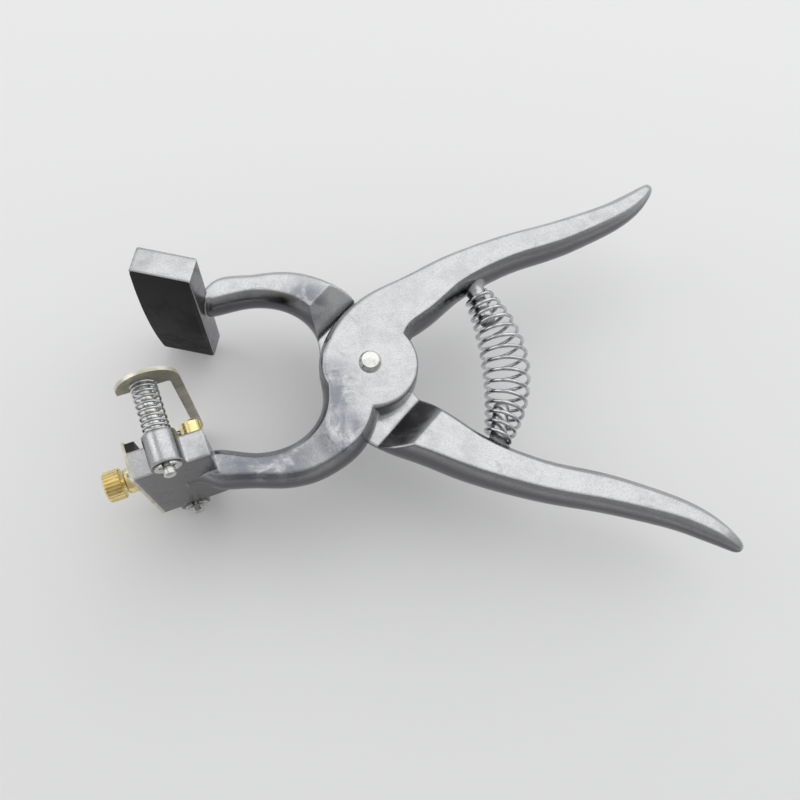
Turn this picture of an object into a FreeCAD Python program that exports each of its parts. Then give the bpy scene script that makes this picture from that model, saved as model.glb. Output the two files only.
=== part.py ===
import FreeCAD, Part
import math
import os
import re
import Sketcher
from FreeCAD import Placement, Rotation, Vector

# Ear marking plier: two die-cast levers half-lapped on one pivot, a rubber pad on one
# jaw, a die holder with a sprung release plate on the other, and a barrel spring between
# the handles.
#
# Tool frame: pivot axis along +Z through the origin, handles towards +X, the levers'
# mid-plane at z = 0.  Head frame (die holder): x across the jaw towards the pivot,
# y out of the die seat towards the pad, z along the dies.

DIMENSIONS = {
    # where the pivot stands in the part's own frame
    "pivot_x": -17.62,
    "pivot_y": 0.0,
    "pivot_z": 36.4,
    # levers
    "hub_half_depth": 9.0,
    "hub_radius": 18.0,
    "hub_draft": 4.0,
    "hub_edge_round": 1.6,
    "lap_gap": 0.1,
    "lap_handle_foot": 22.1,
    "lap_handle_top": 32.5,
    "lap_jaw_foot": 23.2,
    "lap_jaw_top": 33.2,
    "lap_jaw_step": 2.0,
    "lap_angle": 45.5,
    "arm_half_depth": 7.0,
    "flank": 3.5,
    "tip_flank_share": 0.62,
    # pivot
    "pin_radius": 3.6,
    "pin_fit": 0.02,
    "pin_running": 0.05,
    "pin_head_radius": 4.2,
    "pin_head_height": 2.2,
    "pin_head_chamfer": 1.0,
    # spring pegs on the handles
    "peg_x": 45.6,
    "peg_y": 34.5,
    "peg_lean": 14.0,
    "peg_length": 18.5,
    "peg_radius": 3.1,
    "peg_root_radius": 5.4,
    "peg_root_length": 7.0,
    # pad lever
    "pad_x": -70.8,
    "pad_y": 31.7,
    "pad_tilt": -15.5,
    "pad_width": 21.2,
    "pad_depth": 10.2,
    "pad_length": 62.4,
    "pad_round": 1.2,
    "rubber_edge": 0.4,
    "rubber_crown": 2.4,
    # die holder
    "head_x": -69.9,
    "head_y": -35.3,
    "head_tilt": 16.0,
    "head_width": 25.0,
    "head_depth": 9.6,
    "head_length": 50.2,
    "die_floor": -1.0,
    "die_rear": 5.5,
    "die_front": -8.2,
    "die_end_wall": 4.6,
    "bar_floor": -3.0,
    "boss_x": -0.9,
    "boss_overhang": 3.4,
    "boss_radius": 5.5,
    "boss_foot": -4.8,
    "boss_top": 6.2,
    # release plate on its two guide pins
    "guide_radius": 2.1,
    "guide_running": 0.06,
    "guide_foot": -8.4,
    "guide_chamfer": 0.5,
    "plate_under": 25.0,
    "plate_sheet": 1.3,
    "plate_lobe_x": 0.4,
    "plate_lobe_back": 2.7,
    "plate_lobe_radius": 10.6,
    "plate_window_margin": 3.8,
    "plate_window_x": 7.5,
    "plate_corner": 1.5,
    "clip_groove_radius": 1.5,
    "clip_thickness": 0.7,
    "clip_radius": 4.4,
    "clip_play": 0.05,
    "coil_radius": 4.05,
    "coil_wire": 0.44,
    "coil_turns": 7.5,
    # front plate, clamp bar and thumb screw
    "front_sheet": 1.0,
    "front_top": 8.9,
    "bar_play": 0.1,
    "bar_thickness": 3.2,
    "bar_top": 8.0,
    "screw_y": 3.9,
    "bush_radius": 4.7,
    "bush_length": 5.3,
    "bush_spigot_radius": 3.0,
    "screw_radius": 2.0,
    "screw_tip_radius": 1.5,
    "screw_tip_depth": 1.0,
    "screw_gap": 1.0,
    "knob_radius": 5.6,
    "knob_length": 6.1,
    "knob_ridges": 26,
    "knob_groove": 0.55,
    "fixing_inset": 2.3,
    "fixing_y": -1.5,
    "fixing_radius": 1.25,
    "fixing_head_radius": 2.2,
    "fixing_head_height": 0.9,
    "fixing_length": 6.0,
    # stop stud beside the die slot
    "stud_x": 9.0,
    "stud_inset": 3.8,
    "stud_radius": 3.5,
    "stud_height": 4.8,
    "stud_shank_radius": 1.5,
    "stud_shank_length": 5.0,
    # handle spring
    "main_wire": 0.75,
    "main_turns": 12.0,
    "main_bow": 7.6,
    "main_x": 46.4,
    "main_half_span": 30.6,
    "main_end_radius": 4.8,
    "main_mid_radius": 9.4,
}

# Places along the holder that follow its length.
BOSS_Z = "( head_length / 2 + boss_overhang )"
FIXING_Z = "( head_length / 2 - fixing_inset )"
STUD_Z = "( head_length / 2 - stud_inset )"
DIE_LENGTH = "( head_length - 2 * die_end_wall )"

# Cross-sections along one lever, each a flat top and underside with bulged flanks:
# centre x, centre y, turn of the section about Z in degrees, half width, half depth.
LEVER_SECTIONS = [
    (-53.3, -35.2, -84.0, 7.1, 7.0),
    (-43.7, -36.3, -89.0, 6.3, 7.0),
    (-34.4, -36.3, -86.0, 7.1, 7.2),
    (-26.2, -34.5, -73.0, 8.1, 7.7),
    (-18.9, -30.5, -61.0, 9.1, 8.5),
    (-12.9, -24.6, -51.0, 10.5, 9.3),
    (-9.2, -17.0, -40.0, 11.8, 9.4),
    (-7.5, -6.0, -28.0, 13.0, 9.4),
    (-3.4, 5.9, -24.0, 14.6, 9.4),
    (2.6, 14.6, -32.0, 14.4, 9.4),
    (9.9, 22.0, -47.0, 12.4, 9.4),
    (20.2, 27.8, -57.0, 11.1, 9.4),
    (34.6, 36.9, -60.0, 9.4, 9.0),
    (49.0, 43.8, -66.0, 8.3, 8.4),
    (64.3, 49.4, -73.5, 7.7, 7.8),
    (81.4, 54.1, -73.0, 7.4, 7.4),
    (97.9, 59.8, -70.0, 6.7, 7.0),
    (112.2, 65.8, -63.5, 5.9, 6.3),
    (122.2, 71.8, -57.0, 4.8, 5.3),
    (128.4, 76.8, -48.0, 3.2, 3.9),
    (130.0, 78.3, -46.0, 2.6, 3.2),
    (131.0, 79.3, -45.0, 2.0, 2.4),
    (131.6, 79.9, -44.0, 1.2, 1.4),
    (131.8, 80.1, -44.0, 0.6, 0.7),
]
# The two sections that root each jaw arm in its head, in the same terms.
HEAD_ROOT_SECTIONS = [
    (-68.9, -36.6, -74.0, 3.9, 6.0),
    (-60.0, -34.9, -77.0, 6.6, 7.0),
]
PAD_ROOT_SECTIONS = [
    (-69.1, -34.3, -75.0, 3.9, 6.0),
    (-59.0, -33.3, -86.0, 6.0, 7.0),
]

doc = FreeCAD.newDocument("ear_marking_plier")


# ---------------------------------------------------------------- the driving sheet
def make_sheet():
    """Writes every driving dimension into the sheet under its own alias."""
    sheet = doc.addObject("Spreadsheet::Sheet", "Dims")
    for row, (alias, value) in enumerate(DIMENSIONS.items(), start=1):
        sheet.set(f"A{row}", alias)
        sheet.set(f"B{row}", str(value))
        sheet.setAlias(f"B{row}", alias)
    doc.recompute()
    return sheet


SHEET = make_sheet()


def dim(alias):
    """A driving dimension as the sheet holds it now."""
    return float(SHEET.get(alias))


def terms(expression):
    """Spells a formula of dimension names as an expression on the sheet."""
    return re.sub(r"[a-z_]+", lambda w: f"Dims.{w[0]}" if w[0] in DIMENSIONS else w[0], expression)


def bind(obj, **expressions):
    """Ties properties of an object to formulas of the sheet's dimensions."""
    for name, expression in expressions.items():
        obj.setExpression(name.replace("__", "."), terms(expression))


def place(obj, x="0", y="0", z="0", turn="0", in_part=True):
    """Puts an object at x, y, z of the tool frame, turned about Z."""
    where = [f"{x} + pivot_x", f"{y} + pivot_y", f"{z} + pivot_z"] if in_part else [x, y, z]
    spot = "; ".join(terms(w) for w in where)
    obj.setExpression(
        "Placement",
        f"create(<<placement>>; create(<<vector>>; {spot}); "
        f"create(<<rotation>>; create(<<vector>>; 0; 0; 1); {terms(turn)}))",
    )


def place_in_head(obj, in_part=True):
    place(obj, "head_x", "head_y", "0", "head_tilt", in_part)


def place_in_pad(obj, in_part=True):
    place(obj, "pad_x", "pad_y", "0", "pad_tilt", in_part)


# ---------------------------------------------------------------- sketches and bodies
def new_body(name):
    return doc.addObject("PartDesign::Body", name)


def plane_of(body, role):
    return next(f for f in body.Origin.OriginFeatures if f.Role == role)


def new_sketch(body, name, role="XY_Plane", offset="0", across="0", up="0", turn=Rotation()):
    """A sketch on one of its body's origin planes, moved along the plane's own axes."""
    sketch = body.newObject("Sketcher::SketchObject", name)
    sketch.AttachmentSupport = [(plane_of(body, role), "")]
    sketch.MapMode = "FlatFace"
    sketch.AttachmentOffset = Placement(Vector(0, 0, 0), turn)
    for axis, value in zip("xyz", (across, up, offset)):
        sketch.setExpression(f"AttachmentOffset.Base.{axis}", terms(value))
    return sketch


def rectangle(sketch, left, bottom, right, top):
    """A rectangle whose corners are formulas of the sheet's dimensions."""
    values = [evaluate(e) for e in (left, bottom, right, top)]
    x0, y0, x1, y1 = values
    corners = [Vector(x0, y0, 0), Vector(x1, y0, 0), Vector(x1, y1, 0), Vector(x0, y1, 0)]
    first = sketch.GeometryCount
    for a, b in zip(corners, corners[1:] + corners[:1]):
        sketch.addGeometry(Part.LineSegment(a, b), False)
    for i in range(4):
        sketch.addConstraint(
            Sketcher.Constraint("Coincident", first + i, 2, first + (i + 1) % 4, 1)
        )
    for i, kind in enumerate(("Horizontal", "Vertical", "Horizontal", "Vertical")):
        sketch.addConstraint(Sketcher.Constraint(kind, first + i))
    fix_point(sketch, first, 1, left, bottom)
    fix_point(sketch, first + 2, 1, right, top)


def circle(sketch, x, y, radius):
    """A circle whose centre and radius are formulas of the sheet's dimensions."""
    centre = Vector(evaluate(x), evaluate(y), 0)
    index = sketch.addGeometry(Part.Circle(centre, Vector(0, 0, 1), evaluate(radius)), False)
    fix_point(sketch, index, 3, x, y)
    tie = sketch.addConstraint(Sketcher.Constraint("Radius", index, evaluate(radius)))
    sketch.renameConstraint(tie, f"radius_{index}")
    sketch.setExpression(f"Constraints.radius_{index}", terms(radius))
    return index


def evaluate(expression):
    """The value that a formula of dimension names has now."""
    probe = SHEET.evalExpression(terms(str(expression)))
    return float(getattr(probe, "Value", probe))


def fix_point(sketch, geometry, point, x, y):
    """Holds one point of a sketch at formulas of the sheet's dimensions."""
    for kind, value in (("X", x), ("Y", y)):
        size = evaluate(value)
        label = f"{kind.lower()}_{geometry}_{point}"
        if abs(size) < 1e-9:
            axis = -2 if kind == "X" else -1
            sketch.addConstraint(Sketcher.Constraint("PointOnObject", geometry, point, axis))
            continue
        index = sketch.addConstraint(
            Sketcher.Constraint(f"Distance{kind}", -1, 1, geometry, point, size)
        )
        sketch.renameConstraint(index, label)
        sketch.setExpression(f"Constraints.{label}", terms(str(value)))


def outline(sketch, points):
    """A closed run of straight edges through corners given as formulas."""
    corners = [Vector(evaluate(x), evaluate(y), 0) for x, y in points]
    first = sketch.GeometryCount
    count = len(corners)
    for a, b in zip(corners, corners[1:] + corners[:1]):
        sketch.addGeometry(Part.LineSegment(a, b), False)
    for i in range(count):
        sketch.addConstraint(
            Sketcher.Constraint("Coincident", first + i, 2, first + (i + 1) % count, 1)
        )
    for i, (x, y) in enumerate(points):
        fix_point(sketch, first + i, 1, x, y)


def pad(body, sketch, name, length, both_ways=False, taper=None, reverse=False):
    feature = body.newObject("PartDesign::Pad", name)
    feature.Profile = sketch
    feature.Midplane = both_ways
    feature.Reversed = reverse
    bind(feature, Length=length)
    if taper is not None:
        bind(feature, TaperAngle=taper)
    sketch.Visibility = False
    return feature


def pocket(body, sketch, name, length=None, both_ways=False, reverse=False):
    feature = body.newObject("PartDesign::Pocket", name)
    feature.Profile = sketch
    feature.Midplane = both_ways
    feature.Reversed = reverse
    if length is None:
        feature.Type = 1
    else:
        bind(feature, Length=length)
    sketch.Visibility = False
    return feature


def revolve(body, sketch, name, axis="V_Axis"):
    feature = body.newObject("PartDesign::Revolution", name)
    feature.Profile = sketch
    feature.ReferenceAxis = (sketch, [axis])
    feature.Angle = 360.0
    return feature


def round_edges(body, base, name, radius, choose, kind="Fillet"):
    """Rounds or chamfers the edges of a feature that a test picks."""
    doc.recompute()
    picked = [f"Edge{i}" for i, e in enumerate(base.Shape.Edges, start=1) if choose(e)]
    feature = body.newObject(f"PartDesign::{kind}", name)
    feature.Base = (base, picked)
    bind(feature, **{"Radius" if kind == "Fillet" else "Size": radius})
    return feature


# ---------------------------------------------------------------- primitives and booleans
def cylinder(name, radius, height, x="0", y="0", z="0", tilt=None):
    """A cylinder standing on x, y, z; tilt gives the axis it is laid along."""
    shape = doc.addObject("Part::Cylinder", name)
    bind(shape, Radius=radius, Height=height)
    lay(shape, x, y, z, tilt)
    return shape


def cone(name, radius, end_radius, height, x="0", y="0", z="0", tilt=None):
    shape = doc.addObject("Part::Cone", name)
    bind(shape, Radius1=radius, Radius2=end_radius, Height=height)
    lay(shape, x, y, z, tilt)
    return shape


def lay(shape, x, y, z, tilt):
    """Stands a primitive at x, y, z with its own Z along a tool direction."""
    turn = Rotation(Vector(0, 0, 1), tilt if tilt is not None else Vector(0, 0, 1))
    shape.Placement = Placement(Vector(0, 0, 0), turn)
    for axis, value in zip("xyz", (x, y, z)):
        shape.setExpression(f"Placement.Base.{axis}", terms(value))


def fuse(name, *shapes):
    whole = doc.addObject("Part::MultiFuse", name)
    whole.Shapes = list(shapes)
    whole.Refine = False
    return whole


def cut(name, base, tool):
    left = doc.addObject("Part::Cut", name)
    left.Base = base
    left.Tool = tool
    left.Refine = False
    return left


def common(name, *shapes):
    shared = doc.addObject("Part::MultiCommon", name)
    shared.Shapes = list(shapes)
    return shared


# ---------------------------------------------------------------- the levers
def section_sketch(body, name, x, y, turn, half_width, half_depth):
    """One upright cross-section: flat top and underside joined by two bulged flanks."""
    flank = min(dim("flank"), dim("tip_flank_share") * half_width)
    top = half_width - flank
    lean = Rotation(Vector(0, 1, 0), turn)
    sketch = new_sketch(body, name, "XZ_Plane", str(-y), str(x), turn=lean)
    corners = [Vector(a * top, b * half_depth, 0) for a, b in ((-1, 1), (1, 1), (1, -1), (-1, -1))]
    edges = [
        Part.LineSegment(corners[0], corners[1]),
        Part.Arc(corners[1], Vector(half_width, 0, 0), corners[2]),
        Part.LineSegment(corners[2], corners[3]),
        Part.Arc(corners[3], Vector(-half_width, 0, 0), corners[0]),
    ]
    for edge in edges:
        sketch.addGeometry(edge, False)
    return sketch


def lever_blank(name, side, roots):
    """Lofts one whole arm, from its head through the hub to the handle's tip."""
    body = new_body(name)
    sketches = [
        section_sketch(body, f"{name}_section_{i:02d}", x, side * y, side * turn, w, d)
        for i, (x, y, turn, w, d) in enumerate(roots + LEVER_SECTIONS)
    ]
    loft = body.newObject("PartDesign::AdditiveLoft", f"{name}_loft")
    loft.Profile = sketches[0]
    loft.Sections = sketches[1:]
    loft.Ruled = False
    for sketch in sketches:
        sketch.Visibility = False
    return body


def hub_disc(name, side):
    """The half-depth round plate of one hub, from the lap face to its outer face."""
    body = new_body(name)
    sketch = new_sketch(body, f"{name}_outline")
    sketch.setExpression("AttachmentOffset.Base.z", terms("lap_gap / 2"))
    circle(sketch, "0", "0", "hub_radius + 0.8")
    disc = pad(body, sketch, f"{name}_plate", "hub_half_depth - lap_gap / 2", taper="-1 * hub_draft")
    top = dim("hub_half_depth")
    round_edges(
        body, disc, f"{name}_rim", "hub_edge_round",
        lambda e: all(abs(v.Z - top) < 1e-6 for v in e.Vertexes) and e.Length > 20,
    )
    if side < 0:
        body.Placement = Placement(Vector(0, 0, 0), Rotation(Vector(1, 0, 0), 180))
    return body


def lap_window(name, side):
    """What a lever lacks on the other lever's side of the lap: a slot with two ramps."""
    body = new_body(name)
    sketch = new_sketch(body, f"{name}_outline", "XZ_Plane")
    depth = "hub_half_depth + 2"
    slope = "( lap_handle_top - lap_handle_foot ) / hub_half_depth"
    jaw_slope = "( lap_jaw_top - lap_jaw_foot ) / ( hub_half_depth - lap_jaw_step )"
    outline(sketch, [
        ("-1 * lap_jaw_foot", "lap_gap / 2"),
        ("lap_handle_foot", "lap_gap / 2"),
        (f"lap_handle_foot + {slope} * ( {depth} )", f"-1 * ( {depth} )"),
        (f"-1 * lap_jaw_foot - {jaw_slope} * ( {depth} - lap_jaw_step )", f"-1 * ( {depth} )"),
        ("-1 * lap_jaw_foot", "-1 * lap_jaw_step"),
    ])
    pad(body, sketch, f"{name}_slot", "120", both_ways=True)
    tip_over = Rotation(Vector(1, 0, 0), 180) if side < 0 else Rotation()
    turn = Rotation(Vector(0, 0, 1), side * dim("lap_angle"))
    body.Placement = Placement(Vector(0, 0, 0), turn * tip_over)
    return body


def spring_peg(name, side):
    """The cast peg that holds one end of the handle spring, with a flared root."""
    body = new_body(name)
    sketch = new_sketch(body, f"{name}_profile", "XZ_Plane")
    length, radius = dim("peg_length"), dim("peg_radius")
    root, flare = dim("peg_root_radius"), dim("peg_root_length")
    bury = 3.0
    points = [Vector(0, -bury, 0), Vector(root, -bury, 0), Vector(root, 0, 0)]
    shoulder = Vector(radius, flare, 0)
    neck = Vector(radius + 0.25 * (root - radius), 0.45 * flare, 0)
    top = Vector(radius, length - radius * 0.7, 0)
    flat = Vector(0.8, length, 0)
    crown = Vector(0, length, 0)
    edges = [
        Part.LineSegment(points[0], points[1]),
        Part.LineSegment(points[1], points[2]),
        Part.Arc(points[2], neck, shoulder),
        Part.LineSegment(shoulder, top),
        Part.Arc(top, Vector(radius * 0.78, length - radius * 0.2, 0), flat),
        Part.LineSegment(flat, crown),
        Part.LineSegment(crown, points[0]),
    ]
    for edge in edges:
        sketch.addGeometry(edge, False)
    revolve(body, sketch, f"{name}_turned")
    lean = dim("peg_lean")
    aim = Vector(math.sin(math.radians(lean)), -side * math.cos(math.radians(lean)), 0)
    body.Placement = Placement(
        Vector(dim("peg_x"), side * dim("peg_y"), 0), Rotation(Vector(0, 0, 1), aim)
    )
    return body


def die_holder():
    """The die-cast head: block, guide bosses and screw holes."""
    body = new_body("die_holder")
    block = new_sketch(body, "holder_block")
    rectangle(block, "-1 * head_width / 2", "-1 * head_depth / 2", "head_width / 2", "head_depth / 2")
    pad(body, block, "holder_casting", "head_length", both_ways=True)

    for end, sign in (("near", "1"), ("far", "-1")):
        boss = new_sketch(body, f"{end}_boss_outline", "XZ_Plane", "-1 * boss_foot")
        z = f"{sign} * {BOSS_Z}"
        inner = f"{sign} * ( head_length / 2 - 2 )"
        left, right = "boss_x - boss_radius", "boss_x + boss_radius"
        corners = [
            Vector(evaluate(left), evaluate(inner), 0),
            Vector(evaluate(left), evaluate(z), 0),
            Vector(evaluate("boss_x"), evaluate(f"{z} + {sign} * boss_radius"), 0),
            Vector(evaluate(right), evaluate(z), 0),
            Vector(evaluate(right), evaluate(inner), 0),
        ]
        boss.addGeometry(Part.LineSegment(corners[0], corners[1]), False)
        boss.addGeometry(Part.Arc(corners[1], corners[2], corners[3]), False)
        boss.addGeometry(Part.LineSegment(corners[3], corners[4]), False)
        boss.addGeometry(Part.LineSegment(corners[4], corners[0]), False)
        pad(body, boss, f"{end}_boss", "boss_top - boss_foot", reverse=True)
        bore = new_sketch(body, f"{end}_bore_outline", "XZ_Plane")
        circle(bore, "boss_x", z, "guide_radius + guide_running")
        pocket(body, bore, f"{end}_guide_bore", both_ways=True)

    holes = new_sketch(body, "fixing_hole_outline", "YZ_Plane", "-1 * head_width / 2")
    for sign in ("1", "-1"):
        circle(holes, "fixing_y", f"{sign} * {FIXING_Z}", "fixing_radius")
    pocket(body, holes, "fixing_holes", "fixing_length", reverse=True)
    stud = new_sketch(body, "stud_hole_outline", "XZ_Plane", "-1 * head_depth / 2")
    circle(stud, "stud_x", STUD_Z, "stud_shank_radius")
    pocket(body, stud, "stud_hole", "stud_shank_length + 0.3", reverse=True)
    place_in_head(body, in_part=False)
    return body


def die_slot():
    """What is hollow in the head: the die slot and, one step lower, the clamp groove."""
    body = new_body("die_slot")
    section = new_sketch(body, "die_slot_section")
    outline(section, [
        ("-1 * head_width / 2 - 1", "bar_floor"),
        ("die_front", "bar_floor"),
        ("die_front", "die_floor"),
        ("die_rear", "die_floor"),
        ("die_rear", "boss_top + 2"),
        ("-1 * head_width / 2 - 1", "boss_top + 2"),
    ])
    pad(body, section, "die_slot_length", DIE_LENGTH, both_ways=True)
    place_in_head(body, in_part=False)
    return body


def pad_block():
    """The plain cast block that backs the rubber."""
    body = new_body("pad_block")
    face = new_sketch(body, "pad_block_outline")
    rectangle(face, "-1 * pad_width / 2", "-1 * pad_depth / 2", "pad_width / 2", "pad_depth / 2")
    block = pad(body, face, "pad_block_casting", "pad_length", both_ways=True)
    back = dim("pad_depth") / 2
    round_edges(
        body, block, "pad_block_edges", "pad_round",
        lambda e: all(v.Y > back - 1e-6 for v in e.Vertexes),
    )
    place_in_pad(body, in_part=False)
    return body


def make_lever(label, side, head, roots, hollows=()):
    """One casting: lofted arm, hub plate, spring peg and head, lapped and bored."""
    blank = lever_blank(f"{label}_blank", side, roots)
    slab = doc.addObject("Part::Box", f"{label}_slab")
    slab.Length, slab.Width = 300, 300
    bind(slab, Height="2 * hub_half_depth")
    slab.Placement.Base = Vector(-120, -150, 0)
    slab.setExpression("Placement.Base.z", terms("-1 * hub_half_depth"))
    arm = common(f"{label}_arm", blank, slab)
    casting = fuse(f"{label}_casting", arm, spring_peg(f"{label}_peg", side), head)
    for tool in (lap_window(f"{label}_lap", side), *hollows):
        casting = cut(f"{label}_less_{tool.Name}", casting, tool)
    hubbed = fuse(f"{label}_hubbed", casting, hub_disc(f"{label}_hub", side))
    radius = "pin_radius + pin_fit" if side > 0 else "pin_radius + pin_running"
    bore = cylinder(f"{label}_bore", radius, "40", z="-20")
    lever = cut(label, hubbed, bore)
    place(lever)
    return lever


# ---------------------------------------------------------------- loose pieces
def pivot_pin():
    """The riveted pivot: a shank with a coned head at both ends."""
    body = new_body("pivot_pin")
    profile = new_sketch(body, "pivot_profile", "XZ_Plane")
    half = "hub_half_depth"
    outline(profile, [
        ("0", f"-1 * {half} - pin_head_height"),
        ("pin_head_radius - pin_head_chamfer", f"-1 * {half} - pin_head_height"),
        ("pin_head_radius", f"-1 * {half} - pin_head_height + 1.4 * pin_head_chamfer"),
        ("pin_head_radius", f"-1 * {half}"),
        ("pin_radius", f"-1 * {half}"),
        ("pin_radius", half),
        ("pin_head_radius", half),
        ("pin_head_radius", f"{half} + pin_head_height - 1.4 * pin_head_chamfer"),
        ("pin_head_radius - pin_head_chamfer", f"{half} + pin_head_height"),
        ("0", f"{half} + pin_head_height"),
    ])
    revolve(body, profile, "pivot_turned")
    place(body)
    return body


def rubber_pad():
    """The crowned rubber facing, thickest at the middle of the block."""
    body = new_body("rubber_pad")
    profile = new_sketch(body, "rubber_profile", "YZ_Plane")
    face = -dim("pad_depth") / 2
    half = dim("pad_length") / 2
    edge = face - dim("rubber_edge")
    crown = edge - dim("rubber_crown")
    corners = [Vector(face, -half, 0), Vector(edge, -half, 0), Vector(edge, half, 0), Vector(face, half, 0)]
    profile.addGeometry(Part.LineSegment(corners[0], corners[1]), False)
    profile.addGeometry(Part.Arc(corners[1], Vector(crown, 0, 0), corners[2]), False)
    profile.addGeometry(Part.LineSegment(corners[2], corners[3]), False)
    profile.addGeometry(Part.LineSegment(corners[3], corners[0]), False)
    facing = pad(body, profile, "rubber_facing", "pad_width - 0.4", both_ways=True)
    round_edges(
        body, facing, "rubber_corners", "pad_round",
        lambda e: abs(e.Vertexes[0].X - e.Vertexes[-1].X) < 1e-6
        and abs(abs(e.Vertexes[0].Z) - half) < 1e-6 and e.Length < 1.0,
    )
    place_in_pad(body)
    return body


def release_plate():
    """The C-shaped sheet that pushes the ear off the dies."""
    body = new_body("release_plate")
    sheet = new_sketch(body, "plate_outline", "XZ_Plane", "-1 * plate_under")
    x, r = dim("plate_lobe_x"), dim("plate_lobe_radius")
    z = evaluate(f"{BOSS_Z} - plate_lobe_back")
    window_z, window_x = evaluate(f"{BOSS_Z} - plate_window_margin"), dim("plate_window_x")
    start = x - math.sqrt(r * r - (z - window_z) ** 2)
    near = [Vector(start, window_z, 0), Vector(x, z + r, 0), Vector(x + r, z, 0)]
    far = [Vector(p.x, -p.y, 0) for p in near]
    inner = [Vector(window_x, -window_z, 0), Vector(window_x, window_z, 0)]
    edges = [
        Part.Arc(near[0], near[1], near[2]),
        Part.LineSegment(near[2], far[2]),
        Part.Arc(far[2], far[1], far[0]),
        Part.LineSegment(far[0], inner[0]),
        Part.LineSegment(inner[0], inner[1]),
        Part.LineSegment(inner[1], near[0]),
    ]
    for edge in edges:
        sheet.addGeometry(edge, False)
    blank = pad(body, sheet, "plate_sheet_metal", "plate_sheet", reverse=True)
    corner = round_edges(
        body, blank, "plate_corners", "plate_corner",
        lambda e: abs(e.Vertexes[0].X - window_x) < 1e-6 and abs(e.Vertexes[-1].X - window_x) < 1e-6
        and abs(e.Length - dim("plate_sheet")) < 1e-6,
    )
    corner.Label = "plate_corners"
    holes = new_sketch(body, "plate_hole_outline", "XZ_Plane", "-1 * plate_under")
    for sign in ("1", "-1"):
        circle(holes, "boss_x", f"{sign} * {BOSS_Z}", "guide_radius")
    pocket(body, holes, "plate_holes", both_ways=True)
    place_in_head(body)
    return body


def turned(name, points, x, z):
    """A piece turned about the head frame's y axis at x, z."""
    body = new_body(name)
    profile = new_sketch(body, f"{name}_profile", offset=z, across=x)
    outline(profile, points)
    revolve(body, profile, f"{name}_turned")
    place_in_head(body)
    return body


def guide_pin(end, sign):
    """A guide pin riveted flush in the plate, with a groove for its clip."""
    groove_top = "boss_foot - clip_play"
    groove_low = f"{groove_top} - clip_thickness - 0.1"
    top = "plate_under + plate_sheet"
    return turned(f"guide_pin_{end}", [
        ("0", "guide_foot"),
        ("guide_radius - guide_chamfer", "guide_foot"),
        ("guide_radius", "guide_foot + guide_chamfer"),
        ("guide_radius", groove_low),
        ("clip_groove_radius", groove_low),
        ("clip_groove_radius", groove_top),
        ("guide_radius", groove_top),
        ("guide_radius", top),
        ("0", top),
    ], "boss_x", f"{sign} * {BOSS_Z}")


def retaining_clip(end, sign):
    """An E-clip in the guide pin's groove, open towards the die slot's far side."""
    body = new_body(f"retaining_clip_{end}")
    ring = new_sketch(body, f"clip_{end}_outline", "XZ_Plane", "-1 * boss_foot + clip_play + clip_thickness")
    x, z = evaluate("boss_x"), evaluate(f"{sign} * {BOSS_Z}")
    outer, inner, jaw = dim("clip_radius"), dim("clip_groove_radius") + 0.02, 1.3
    rise_out = math.sqrt(outer * outer - jaw * jaw)
    rise_in = math.sqrt(inner * inner - 1.2 * 1.2)
    centre = Vector(x, z, 0)
    a, b = centre + Vector(jaw, rise_out, 0), centre + Vector(-jaw, rise_out, 0)
    c, d = centre + Vector(-1.2, rise_in, 0), centre + Vector(1.2, rise_in, 0)
    ring.addGeometry(Part.Arc(a, centre + Vector(0, -outer, 0), b), False)
    ring.addGeometry(Part.LineSegment(b, c), False)
    ring.addGeometry(Part.Arc(c, centre + Vector(0, -inner, 0), d), False)
    ring.addGeometry(Part.LineSegment(d, a), False)
    pad(body, ring, f"clip_{end}_sheet", "clip_thickness", reverse=True)
    reliefs = new_sketch(body, f"clip_{end}_reliefs", "XZ_Plane")
    for angle in (30, 150):
        spot = centre + Vector(
            2.75 * math.cos(math.radians(angle)), 2.75 * math.sin(math.radians(angle)), 0
        )
        reliefs.addGeometry(Part.Circle(spot, Vector(0, 0, 1), 0.55), False)
    pocket(body, reliefs, f"clip_{end}_relief_cuts", both_ways=True)
    place_in_head(body)
    return body


def release_spring(end, sign):
    """A release spring: a round wire wound up from the boss to the plate."""
    body = new_body(f"release_spring_{end}")
    wire = new_sketch(body, f"spring_{end}_wire", offset=f"{sign} * {BOSS_Z}", across="boss_x")
    circle(wire, "coil_radius", "boss_top + coil_wire", "coil_wire")
    winding = body.newObject("PartDesign::AdditiveHelix", f"spring_{end}_winding")
    winding.Profile = wire
    winding.ReferenceAxis = (wire, ["V_Axis"])
    winding.Mode = 1
    bind(winding, Turns="coil_turns")
    bind(winding, Pitch="( plate_under - boss_top - 2 * coil_wire ) / coil_turns")
    wire.Visibility = False
    place_in_head(body)
    return body


def main_spring():
    """The barrel spring, bowed outwards, over the two pegs."""
    turns, span = dim("main_turns"), dim("main_half_span")
    steps = int(turns * 12)
    points = []
    for i in range(steps + 1):
        u = i / steps
        along = 2.0 * u - 1.0
        swell = 1.0 - along * along
        radius = dim("main_end_radius") + (dim("main_mid_radius") - dim("main_end_radius")) * swell
        middle = Vector(dim("main_x") + dim("main_bow") * swell, span * along, 0)
        slope = -2.0 * along * dim("main_bow") / span
        across = Vector(1.0, -slope, 0).normalize()
        turn = 2.0 * math.pi * turns * u
        points.append(
            middle + across * (radius * math.cos(turn)) + Vector(0, 0, radius * math.sin(turn))
        )
    curve = Part.BSplineCurve()
    curve.interpolate(points)
    path = Part.Wire([curve.toShape()])
    start, tangent = curve.value(curve.FirstParameter), curve.tangent(curve.FirstParameter)[0]
    ring = Part.Wire([Part.makeCircle(dim("main_wire"), start, tangent)])
    spring = doc.addObject("Part::Feature", "handle_spring")
    spring.Shape = path.makePipeShell([ring], True, True)
    place(spring)
    return spring


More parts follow.
